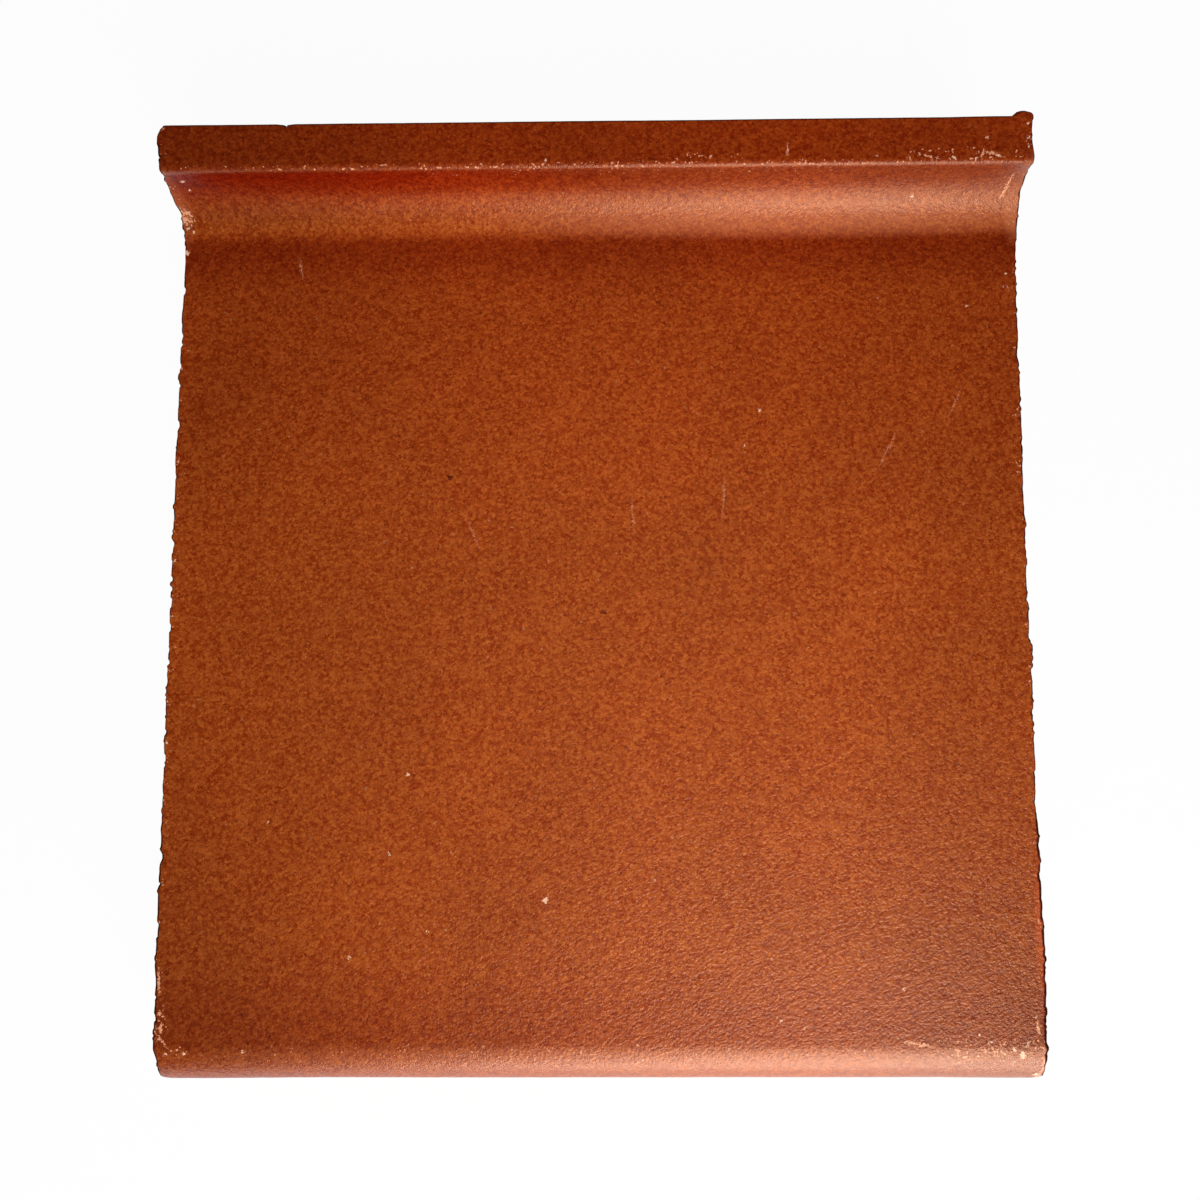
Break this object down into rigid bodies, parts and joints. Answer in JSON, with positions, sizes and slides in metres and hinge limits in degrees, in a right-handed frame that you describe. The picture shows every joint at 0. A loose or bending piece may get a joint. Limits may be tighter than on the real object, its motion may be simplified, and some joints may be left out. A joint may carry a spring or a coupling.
{
  "type": "cove base tile",
  "caption": "Unglazed red clay cove base tile: a flat wall face with a rounded top edge that sweeps through a hollow cove into a square toe at the floor, ribbed on the back.",
  "frame": {"origin": "middle of the footprint, on the plane of the back ribs", "axes": "+X along the extrusion from one cut end to the other, +Y down the wall side from the rounded top edge to the toe, +Z out of the face"},
  "size_m": [0.1524, 0.1668, 0.0232],
  "materials": {
    "red_clay": "unglazed, matte with a faint sheen"
  },
  "bodies": {
    "root": {"cove_base_tile": "red_clay"}
  },
  "joints": []
}
